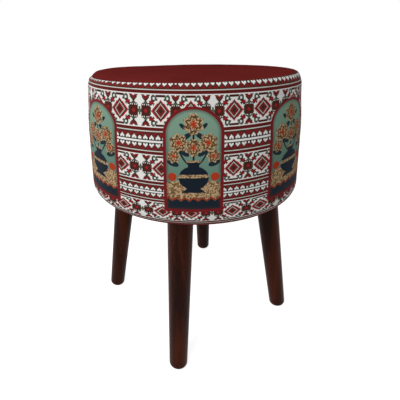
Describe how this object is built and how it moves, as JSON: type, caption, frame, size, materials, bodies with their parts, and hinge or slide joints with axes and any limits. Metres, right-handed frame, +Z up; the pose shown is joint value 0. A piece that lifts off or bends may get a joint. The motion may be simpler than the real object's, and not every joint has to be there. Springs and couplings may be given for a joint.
{
  "type": "footstool",
  "caption": "Round upholstered footstool: a fabric-covered drum with a crowned top on splayed, tapered, turned wooden legs.",
  "frame": {"origin": "on the floor under the middle of the drum", "axes": "+Z up; the front leg lies towards -Y and the right leg towards +X"},
  "size_m": [0.3516, 0.3516, 0.445],
  "materials": {
    "red_fabric": "plain woven, matt",
    "printed_fabric": "woven, printed bands and arches",
    "dust_cloth": "black non-woven",
    "foam": "open-cell polyurethane foam",
    "plywood": "sanded birch plywood",
    "fibreboard": "thin bent fibreboard",
    "softwood": "planed pine",
    "dark_walnut": "dark walnut stain, satin lacquer",
    "zinc_steel": "bright zinc plated",
    "plated_screw": "yellow zinc plated steel"
  },
  "bodies": {
    "root": {"top_panel": "red_fabric", "side_cover": "printed_fabric", "dust_cover": "dust_cloth", "seat_foam": "foam", "side_foam": "foam", "seat_board": "plywood", "base_board": "plywood", "drum_shell": "fibreboard", "frame_screws": "plated_screw", "post_front_right": "softwood", "post_back_right": "softwood", "post_back_left": "softwood", "post_front_left": "softwood", "leg_front": "dark_walnut", "leg_right": "dark_walnut", "leg_back": "dark_walnut", "leg_left": "dark_walnut", "hanger_bolt_front": "zinc_steel", "hanger_bolt_right": "zinc_steel", "hanger_bolt_back": "zinc_steel", "hanger_bolt_left": "zinc_steel", "tee_nut_front": "zinc_steel", "tee_nut_right": "zinc_steel", "tee_nut_back": "zinc_steel", "tee_nut_left": "zinc_steel"}
  },
  "joints": []
}
